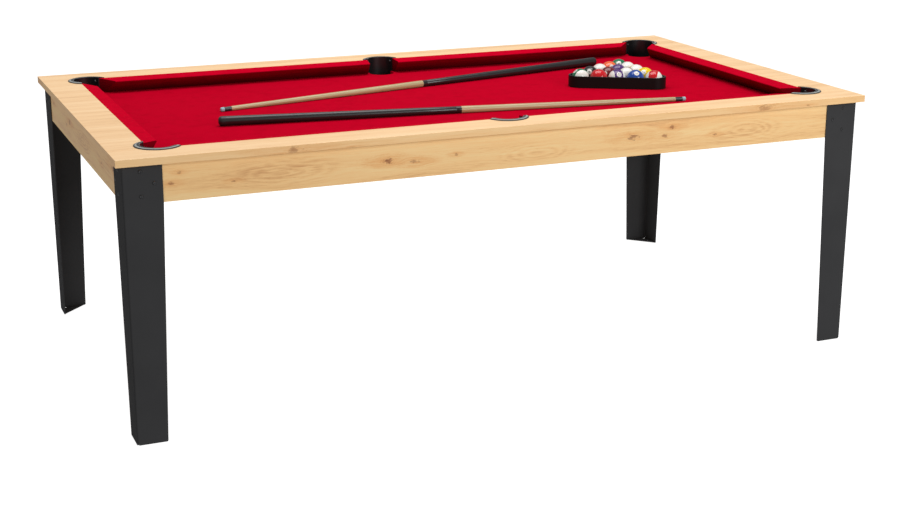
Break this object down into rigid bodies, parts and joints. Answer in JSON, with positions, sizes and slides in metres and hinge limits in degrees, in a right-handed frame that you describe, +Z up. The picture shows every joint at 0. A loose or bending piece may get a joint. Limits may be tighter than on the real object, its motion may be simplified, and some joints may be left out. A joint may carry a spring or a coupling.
{
  "type": "pool table",
  "caption": "Pool table with a wooden top frame and apron on folded steel legs, cloth bed and cushions, drop pockets, and loose cues, triangle and balls.",
  "frame": {"origin": "on the floor under the centre of the table", "axes": "+X along the table, +Y to the back long side, +Z up"},
  "size_m": [2.29, 1.3, 0.8025],
  "materials": {
    "oak_top": "light knotty oak foil on board, satin",
    "oak_apron": "light knotty oak foil on board, satin",
    "black_steel": "black powder coat, fine matt texture",
    "black_screws": "black, satin",
    "zinc": "zinc plated",
    "mdf": "raw fibreboard",
    "pine": "planed softwood",
    "bed_cloth": "red short-napped billiard cloth",
    "cushion_cloth": "red short-napped billiard cloth",
    "cushion_rubber": "moulded rubber",
    "pocket_plastic": "glossy black moulding",
    "rack_plastic": "satin black moulding",
    "cue_black": "black lacquer, satin",
    "cue_ash": "clear-lacquered ash",
    "cue_ferrule": "dark ferrule",
    "cue_tip": "chalked leather",
    "cue_bumper": "soft rubber",
    "ball_yellow": "polished",
    "ball_blue": "polished",
    "ball_red": "polished",
    "ball_purple": "polished",
    "ball_orange": "polished",
    "ball_green": "polished",
    "ball_maroon": "polished",
    "ball_black": "polished",
    "ball_striped": "polished ivory with a coloured band"
  },
  "bodies": {
    "table": {"top_rail_front": "oak_top", "apron_front": "oak_apron", "top_rail_back": "oak_top", "apron_back": "oak_apron", "top_rail_left": "oak_top", "apron_left": "oak_apron", "top_rail_right": "oak_top", "apron_right": "oak_apron", "leg_front_left": "black_steel", "leg_front_right": "black_steel", "leg_back_left": "black_steel", "leg_back_right": "black_steel", "corner_blocks": "pine", "leg_bolts": "black_screws", "leg_nuts": "zinc", "bed_panel": "mdf", "bed_cloth": "bed_cloth", "bed_ledgers": "pine", "bed_crossbeams": "pine", "cushion_rubbers": "cushion_rubber", "cushion_battens": "pine", "wood_screws": "zinc", "cushion_cloth_front_left": "cushion_cloth", "cushion_cloth_front_right": "cushion_cloth", "cushion_cloth_back_left": "cushion_cloth", "cushion_cloth_back_right": "cushion_cloth", "cushion_cloth_left": "cushion_cloth", "cushion_cloth_right": "cushion_cloth", "pocket_front_left": "pocket_plastic", "pocket_front_right": "pocket_plastic", "pocket_back_left": "pocket_plastic", "pocket_back_right": "pocket_plastic", "pocket_middle_front": "pocket_plastic", "pocket_middle_back": "pocket_plastic"},
    "triangle": {"triangle_rack": "rack_plastic"},
    "cue_1": {"cue_1_butt": "cue_black", "cue_1_shaft": "cue_ash", "cue_1_ferrule": "cue_ferrule", "cue_1_tip": "cue_tip", "cue_1_bumper": "cue_bumper"},
    "cue_2": {"cue_2_butt": "cue_black", "cue_2_shaft": "cue_ash", "cue_2_ferrule": "cue_ferrule", "cue_2_tip": "cue_tip", "cue_2_bumper": "cue_bumper"},
    "loose_ball_1": {"ball_1": "ball_yellow"},
    "loose_ball_2": {"ball_2": "ball_blue"},
    "loose_ball_3": {"ball_3": "ball_red"},
    "loose_ball_4": {"ball_4": "ball_purple"},
    "loose_ball_5": {"ball_5": "ball_orange"},
    "loose_ball_6": {"ball_6": "ball_green"},
    "loose_ball_7": {"ball_7": "ball_maroon"},
    "loose_ball_8": {"ball_8": "ball_black"},
    "loose_ball_9": {"ball_9": "ball_striped"},
    "loose_ball_10": {"ball_10": "ball_striped"},
    "loose_ball_11": {"ball_11": "ball_striped"},
    "loose_ball_12": {"ball_12": "ball_striped"},
    "loose_ball_13": {"ball_13": "ball_striped"},
    "loose_ball_14": {"ball_14": "ball_striped"},
    "loose_ball_15": {"ball_15": "ball_striped"}
  },
  "joints": [
    {"name": "triangle_lift", "type": "slide", "parent": "table", "child": "triangle", "axis": [0, 0, 1], "range_m": [0, 0.15]},
    {"name": "cue_1_lift", "type": "slide", "parent": "table", "child": "cue_1", "axis": [0, 0, 1], "range_m": [0, 0.15]},
    {"name": "cue_2_lift", "type": "slide", "parent": "table", "child": "cue_2", "axis": [0, 0, 1], "range_m": [0, 0.15]},
    {"name": "ball_1_lift", "type": "slide", "parent": "table", "child": "loose_ball_1", "axis": [0, 0, 1], "range_m": [0, 0.15]},
    {"name": "ball_2_lift", "type": "slide", "parent": "table", "child": "loose_ball_2", "axis": [0, 0, 1], "range_m": [0, 0.15]},
    {"name": "ball_3_lift", "type": "slide", "parent": "table", "child": "loose_ball_3", "axis": [0, 0, 1], "range_m": [0, 0.15]},
    {"name": "ball_4_lift", "type": "slide", "parent": "table", "child": "loose_ball_4", "axis": [0, 0, 1], "range_m": [0, 0.15]},
    {"name": "ball_5_lift", "type": "slide", "parent": "table", "child": "loose_ball_5", "axis": [0, 0, 1], "range_m": [0, 0.15]},
    {"name": "ball_6_lift", "type": "slide", "parent": "table", "child": "loose_ball_6", "axis": [0, 0, 1], "range_m": [0, 0.15]},
    {"name": "ball_7_lift", "type": "slide", "parent": "table", "child": "loose_ball_7", "axis": [0, 0, 1], "range_m": [0, 0.15]},
    {"name": "ball_8_lift", "type": "slide", "parent": "table", "child": "loose_ball_8", "axis": [0, 0, 1], "range_m": [0, 0.15]},
    {"name": "ball_9_lift", "type": "slide", "parent": "table", "child": "loose_ball_9", "axis": [0, 0, 1], "range_m": [0, 0.15]},
    {"name": "ball_10_lift", "type": "slide", "parent": "table", "child": "loose_ball_10", "axis": [0, 0, 1], "range_m": [0, 0.15]},
    {"name": "ball_11_lift", "type": "slide", "parent": "table", "child": "loose_ball_11", "axis": [0, 0, 1], "range_m": [0, 0.15]},
    {"name": "ball_12_lift", "type": "slide", "parent": "table", "child": "loose_ball_12", "axis": [0, 0, 1], "range_m": [0, 0.15]},
    {"name": "ball_13_lift", "type": "slide", "parent": "table", "child": "loose_ball_13", "axis": [0, 0, 1], "range_m": [0, 0.15]},
    {"name": "ball_14_lift", "type": "slide", "parent": "table", "child": "loose_ball_14", "axis": [0, 0, 1], "range_m": [0, 0.15]},
    {"name": "ball_15_lift", "type": "slide", "parent": "table", "child": "loose_ball_15", "axis": [0, 0, 1], "range_m": [0, 0.15]}
  ]
}
